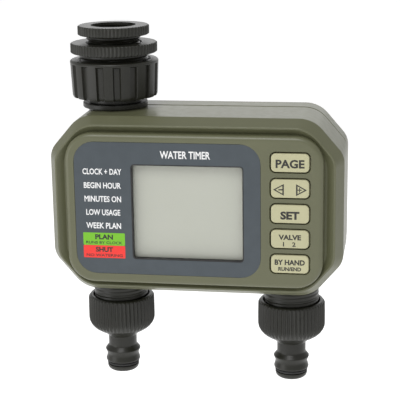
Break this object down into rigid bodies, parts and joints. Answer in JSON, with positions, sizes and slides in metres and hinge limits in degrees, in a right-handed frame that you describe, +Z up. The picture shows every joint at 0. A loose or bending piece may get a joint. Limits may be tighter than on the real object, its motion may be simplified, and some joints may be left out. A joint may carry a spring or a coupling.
{
  "type": "drip irrigation timer",
  "caption": "Battery water timer with a swivel tap inlet, display, keys and screw-on hose outlets below an octagonal case.",
  "frame": {"origin": "centre of the top face of the upper tap adaptor, on the inlet axis", "axes": "+Z up along the inlet axis into the tap, -Y out of the front panel, +X to the right seen from the front"},
  "size_m": [0.1392, 0.0572, 0.1754],
  "materials": {
    "olive_plastic": "satin moulded, olive green-grey",
    "slate_label": "satin printed film, slate grey",
    "key_cream": "satin, pale cream-green with dark print",
    "black_plastic": "satin moulded, dark grey",
    "inner_plastic": "plain moulded",
    "rubber": "matt black",
    "silicone": "matt grey",
    "clear_window": "clear, polished",
    "display_glass": "glossy, pale grey-green",
    "board": "green solder resist",
    "cell_jacket": "shrink sleeve, slate",
    "nickel": "nickel plated",
    "steel": "plain",
    "coil_tape": "amber tape over copper winding",
    "filter_mesh": "fine moulded mesh"
  },
  "bodies": {
    "housing": {"front_cover": "olive_plastic", "rear_cover": "olive_plastic", "face_label": "slate_label", "display_window": "clear_window", "display_glass": "display_glass", "display_frame": "inner_plastic", "display_connector_strip": "silicone", "circuit_board": "board", "key_mat": "silicone", "battery_wire": "rubber", "valve_manifold": "black_plastic", "inlet_filter": "filter_mesh", "case_screw_1": "steel", "case_screw_2": "steel", "case_screw_3": "steel", "case_screw_4": "steel", "case_screw_5": "steel", "case_screw_6": "steel", "valve_membrane_left": "rubber", "plate_spring_left": "steel", "valve_bonnet_left": "inner_plastic", "solenoid_coil_left": "coil_tape", "plunger_spring_left": "steel", "coil_wire_left": "rubber", "valve_membrane_right": "rubber", "plate_spring_right": "steel", "valve_bonnet_right": "inner_plastic", "solenoid_coil_right": "coil_tape", "plunger_spring_right": "steel", "coil_wire_right": "rubber"},
    "swivel_nut": {"swivel_nut": "black_plastic"},
    "nut_washer": {"nut_washer": "rubber"},
    "large_adaptor": {"large_adaptor": "black_plastic"},
    "adaptor_washer": {"adaptor_washer": "rubber"},
    "small_adaptor": {"small_adaptor": "black_plastic", "tap_washer": "rubber"},
    "connector_washer_left": {"connector_washer_left": "rubber"},
    "outlet_connector_left": {"outlet_connector_left": "black_plastic", "nose_seal_left": "rubber"},
    "connector_washer_right": {"connector_washer_right": "rubber"},
    "outlet_connector_right": {"outlet_connector_right": "black_plastic", "nose_seal_right": "rubber"},
    "key_menu": {"key_menu": "key_cream"},
    "key_arrows": {"key_arrows": "key_cream"},
    "key_ok": {"key_ok": "key_cream"},
    "key_zone": {"key_zone": "key_cream"},
    "key_manual": {"key_manual": "key_cream"},
    "battery_drawer": {"battery_tray": "olive_plastic", "battery_tray_seal": "rubber", "battery_upper": "cell_jacket", "battery_lower": "cell_jacket", "battery_link_plate": "nickel", "battery_contact_upper": "nickel", "battery_contact_lower": "nickel"},
    "plunger_left": {"plunger_left": "steel"},
    "plunger_right": {"plunger_right": "steel"},
    "valve_plate_left": {"valve_plate_left": "black_plastic"},
    "valve_plate_right": {"valve_plate_right": "black_plastic"}
  },
  "joints": [
    {"name": "nut_swivel", "type": "hinge", "parent": "housing", "child": "swivel_nut", "pos_m": [0, 0, -0.025], "axis": [0, 0, 1], "continuous": true},
    {"name": "large_adaptor_travel", "type": "slide", "parent": "swivel_nut", "child": "nut_washer", "axis": [0, 0, 1], "range_m": [0, 0.01154]},
    {"name": "large_adaptor_turn", "type": "hinge", "parent": "nut_washer", "child": "large_adaptor", "pos_m": [0, 0, -0.018], "axis": [0, 0, 1], "range_deg": [0, 1801]},
    {"name": "small_adaptor_travel", "type": "slide", "parent": "large_adaptor", "child": "adaptor_washer", "axis": [0, 0, 1], "range_m": [0, 0.01361]},
    {"name": "small_adaptor_turn", "type": "hinge", "parent": "adaptor_washer", "child": "small_adaptor", "pos_m": [0, 0, -0.01], "axis": [0, 0, 1], "range_deg": [0, 2701]},
    {"name": "connector_left_travel", "type": "slide", "parent": "housing", "child": "connector_washer_left", "axis": [0, 0, -1], "range_m": [0, 0.00998]},
    {"name": "connector_left_turn", "type": "hinge", "parent": "connector_washer_left", "child": "outlet_connector_left", "pos_m": [0, 0, -0.145], "axis": [0, 0, -1], "range_deg": [0, 1981]},
    {"name": "connector_right_travel", "type": "slide", "parent": "housing", "child": "connector_washer_right", "axis": [0, 0, -1], "range_m": [0, 0.00998]},
    {"name": "connector_right_turn", "type": "hinge", "parent": "connector_washer_right", "child": "outlet_connector_right", "pos_m": [0.0862, 0, -0.145], "axis": [0, 0, -1], "range_deg": [0, 1981]},
    {"name": "key_menu_press", "type": "slide", "parent": "housing", "child": "key_menu", "axis": [0, 1, 0], "range_m": [0, 0.0008], "stiffness_N_per_m": 800, "springref_m": -0.0006},
    {"name": "key_ok_press", "type": "slide", "parent": "housing", "child": "key_ok", "axis": [0, 1, 0], "range_m": [0, 0.0008], "stiffness_N_per_m": 800, "springref_m": -0.0006},
    {"name": "key_zone_press", "type": "slide", "parent": "housing", "child": "key_zone", "axis": [0, 1, 0], "range_m": [0, 0.0008], "stiffness_N_per_m": 800, "springref_m": -0.0006},
    {"name": "key_manual_press", "type": "slide", "parent": "housing", "child": "key_manual", "axis": [0, 1, 0], "range_m": [0, 0.0008], "stiffness_N_per_m": 800, "springref_m": -0.0006},
    {"name": "key_arrows_rock", "type": "hinge", "parent": "housing", "child": "key_arrows", "pos_m": [0.08842, -0.0315, -0.0703], "axis": [0, 0, 1], "range_deg": [-3.5, 3.5], "stiffness_Nm_per_rad": 0.05},
    {"name": "battery_drawer_slide", "type": "slide", "parent": "housing", "child": "battery_drawer", "axis": [0, 1, 0], "range_m": [0, 0.03]},
    {"name": "plunger_left_lift", "type": "slide", "parent": "housing", "child": "plunger_left", "axis": [0, -1, 0], "range_m": [0, 0.0015], "stiffness_N_per_m": 300, "springref_m": -0.002, "deforming": ["plunger_spring_left"]},
    {"name": "valve_plate_left_lift", "type": "slide", "parent": "housing", "child": "valve_plate_left", "axis": [0, -1, 0], "range_m": [0, 0.0012], "deforming": ["plate_spring_left"]},
    {"name": "plunger_right_lift", "type": "slide", "parent": "housing", "child": "plunger_right", "axis": [0, -1, 0], "range_m": [0, 0.0015], "stiffness_N_per_m": 300, "springref_m": -0.002, "deforming": ["plunger_spring_right"]},
    {"name": "valve_plate_right_lift", "type": "slide", "parent": "housing", "child": "valve_plate_right", "axis": [0, -1, 0], "range_m": [0, 0.0012], "deforming": ["plate_spring_right"]}
  ],
  "couplings": [
    {"joint": "large_adaptor_turn", "follows": "large_adaptor_travel", "rad_per_m": 2721.2},
    {"joint": "small_adaptor_turn", "follows": "small_adaptor_travel", "rad_per_m": 3463.7},
    {"joint": "connector_left_turn", "follows": "connector_left_travel", "rad_per_m": 3463.7},
    {"joint": "connector_right_turn", "follows": "connector_right_travel", "rad_per_m": 3463.7},
    {"joint": "valve_plate_left_lift", "follows": "plunger_left_lift", "ratio": 0.8},
    {"joint": "valve_plate_right_lift", "follows": "plunger_right_lift", "ratio": 0.8}
  ]
}
